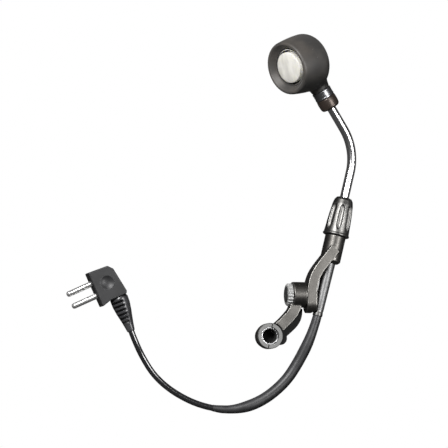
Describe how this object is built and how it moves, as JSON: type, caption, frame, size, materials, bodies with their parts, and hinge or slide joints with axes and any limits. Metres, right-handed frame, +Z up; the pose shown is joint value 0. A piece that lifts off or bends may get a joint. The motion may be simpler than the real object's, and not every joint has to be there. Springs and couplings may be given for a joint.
{
  "type": "examination lamp",
  "caption": "Small examination lamp: rubber-hooded round head on a bent chrome tube, lock nut, knuckle bracket, ring clamp and short cord with a two-pin plug.",
  "frame": {"origin": "centre of the clamp ring's bore at its lower face, on the table the lamp lies on", "axes": "+Z up along the bore, +X towards the tube side of the bracket, +Y from the clamp towards the lamp head"},
  "size_m": [0.1916, 0.2476, 0.0413],
  "materials": {
    "hood_rubber": "matte",
    "lamp_aluminium": "turned",
    "board": "solder mask",
    "fixings": "plated",
    "light_dome": "clear dome over a yellow chip",
    "reflector": "polished",
    "gasket": "matte",
    "lens": "frosted",
    "bezel": "polished",
    "collar": "gloss",
    "cap": "gloss",
    "washer": "plain",
    "tube_satin": "satin nickel",
    "tube": "polished",
    "nut": "satin nickel",
    "collet": "turned",
    "cast_metal": "satin cast",
    "dark_plate": "satin",
    "liner": "satin",
    "knob": "turned",
    "cord": "satin sheath",
    "sleeve": "satin",
    "lead": "insulated",
    "plug": "matte moulding",
    "boot": "matte",
    "pins": "bright nickel"
  },
  "bodies": {
    "boom": {"tube": "tube", "tube_ferrule": "nut", "tube_sleeve": "tube_satin", "lead_core": "lead", "end_cap": "cap", "swivel_washer": "washer", "pivot_clip": "fixings", "cord": "cord", "cord_sleeve": "sleeve", "plug_boot": "boot", "plug_body": "plug", "plug_face": "plug", "plug_pin_1": "pins", "plug_pin_2": "pins"},
    "head": {"hood": "hood_rubber", "lamp_cup": "lamp_aluminium", "heat_plate": "lamp_aluminium", "lamp_board": "board", "board_screws": "fixings", "light_source": "light_dome", "reflector": "reflector", "lens_gasket": "gasket", "lens": "lens", "lens_ring": "bezel", "neck_core": "lamp_aluminium", "neck_collar": "collar"},
    "collet_body": {"collet": "collet"},
    "bracket_body": {"bracket": "cast_metal"},
    "lock_nut_body": {"lock_nut": "nut", "thrust_ring": "washer"},
    "clamp": {"link_arm": "cast_metal", "link_back": "dark_plate", "link_screws": "fixings", "clamp_liner_left": "liner", "clamp_liner_right": "liner", "grip_ring": "fixings", "bore_pad": "gasket", "friction_washer": "washer"},
    "knob_body": {"knob": "knob", "knob_cap": "liner", "pivot_screw": "fixings", "knob_washer": "washer"}
  },
  "joints": [
    {"name": "head_swivel", "type": "hinge", "parent": "boom", "child": "head", "pos_m": [0.02207, 0.17861, 0.01803], "axis": [0.5469, -0.8257, -0.1383], "range_deg": [-150, 150]},
    {"name": "collet_slide", "type": "slide", "parent": "boom", "child": "collet_body", "axis": [0.2317, 0.9728, 0], "range_m": [0, 0.016]},
    {"name": "bracket_turn", "type": "hinge", "parent": "collet_body", "child": "bracket_body", "pos_m": [0.0323, 0.0133, 0.0088], "axis": [0.2317, 0.9728, 0], "range_deg": [-150, 150]},
    {"name": "lock_nut_turn", "type": "hinge", "parent": "bracket_body", "child": "lock_nut_body", "pos_m": [0.0323, 0.0133, 0.0088], "axis": [0.2317, 0.9728, 0], "range_deg": [0, 270]},
    {"name": "clamp_tilt", "type": "hinge", "parent": "bracket_body", "child": "clamp", "pos_m": [0.02, 0.0271, 0.0088], "axis": [1, 0, 0], "range_deg": [-120, 120]},
    {"name": "knob_turn", "type": "hinge", "parent": "bracket_body", "child": "knob_body", "pos_m": [0.013, 0.0271, 0.0088], "axis": [1, 0, 0], "range_deg": [-180, 180]}
  ]
}
